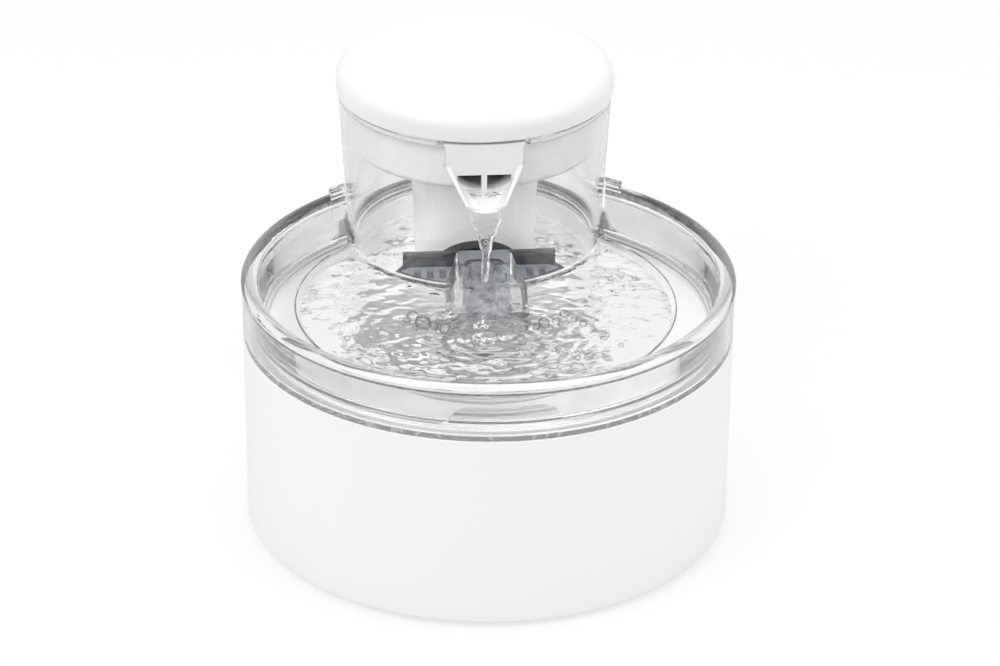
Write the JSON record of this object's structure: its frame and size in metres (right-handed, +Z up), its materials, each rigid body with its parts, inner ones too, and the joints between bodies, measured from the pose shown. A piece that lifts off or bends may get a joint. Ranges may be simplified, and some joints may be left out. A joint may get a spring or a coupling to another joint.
{
  "type": "pet water fountain",
  "caption": "Free-standing pet water fountain: round white base, clear tank and drinking tray, clear rear tower with a white spout and lid over a pumped column.",
  "frame": {"origin": "centre of the bounding box in plan, on the plane the rubber feet stand on", "axes": "+Z up, +Y from the drinking side towards the tower, +X to the right as seen from the drinking side"},
  "size_m": [0.2008, 0.2444, 0.167],
  "materials": {
    "white_abs": "satin white ABS",
    "clear_plastic": "clear polycarbonate, tinted smoke grey by the water behind it",
    "navy_plastic": "moulded navy",
    "pale_plastic": "moulded pale grey",
    "black_plastic": "fine moulded black",
    "black_foam": "open-cell foam",
    "filter_felt": "felt with granules",
    "rubber": "soft grey",
    "seal_rubber": "silicone",
    "steel": "zinc-plated",
    "lamination": "stacked sheets, lacquered",
    "copper_wire": "enamelled winding",
    "circuit_board": "solder mask",
    "ceramic": "polished ceramic",
    "magnet": "sintered ferrite"
  },
  "bodies": {
    "base": {"base_shell": "white_abs", "base_cover": "white_abs", "rubber_feet": "rubber", "cover_screws": "steel", "drive_housing": "black_plastic", "drive_screws": "steel", "stator_core": "lamination", "stator_coils": "copper_wire", "control_board": "circuit_board", "board_screws": "steel", "power_inlet": "black_plastic"},
    "tank": {"water_tank": "clear_plastic", "impeller_shaft": "ceramic", "impeller_cover": "clear_plastic"},
    "rotor": {"impeller": "black_plastic", "rotor_magnet": "magnet"},
    "tray": {"drinking_tray": "clear_plastic", "splash_ramp": "clear_plastic"},
    "filter": {"filter_frame": "navy_plastic", "carbon_pad": "filter_felt", "filter_grille": "pale_plastic"},
    "tower": {"tower_sleeve": "clear_plastic"},
    "pump_insert": {"riser_column": "white_abs", "intake_sponge": "black_foam", "riser_tube": "clear_plastic", "riser_seal": "seal_rubber", "top_basin": "white_abs", "spout": "white_abs"},
    "lid_body": {"lid": "white_abs"}
  },
  "joints": [
    {"name": "tank_lift", "type": "slide", "parent": "base", "child": "tank", "axis": [0, 0, 1], "range_m": [0, 0.1]},
    {"name": "rotor_spin", "type": "hinge", "parent": "tank", "child": "rotor", "pos_m": [0, 0.0622, 0.02], "axis": [0, 0, 1], "continuous": true},
    {"name": "tray_lift", "type": "slide", "parent": "tank", "child": "tray", "axis": [0, 0, 1], "range_m": [0, 0.06]},
    {"name": "filter_lift", "type": "slide", "parent": "tray", "child": "filter", "axis": [0, 0, 1], "range_m": [0, 0.03]},
    {"name": "tower_lift", "type": "slide", "parent": "tray", "child": "tower", "axis": [0, 0, 1], "range_m": [0, 0.06]},
    {"name": "insert_lift", "type": "slide", "parent": "tower", "child": "pump_insert", "axis": [0, 0, 1], "range_m": [0, 0.12]},
    {"name": "lid_lift", "type": "slide", "parent": "pump_insert", "child": "lid_body", "axis": [0, 0, 1], "range_m": [0, 0.05]}
  ]
}
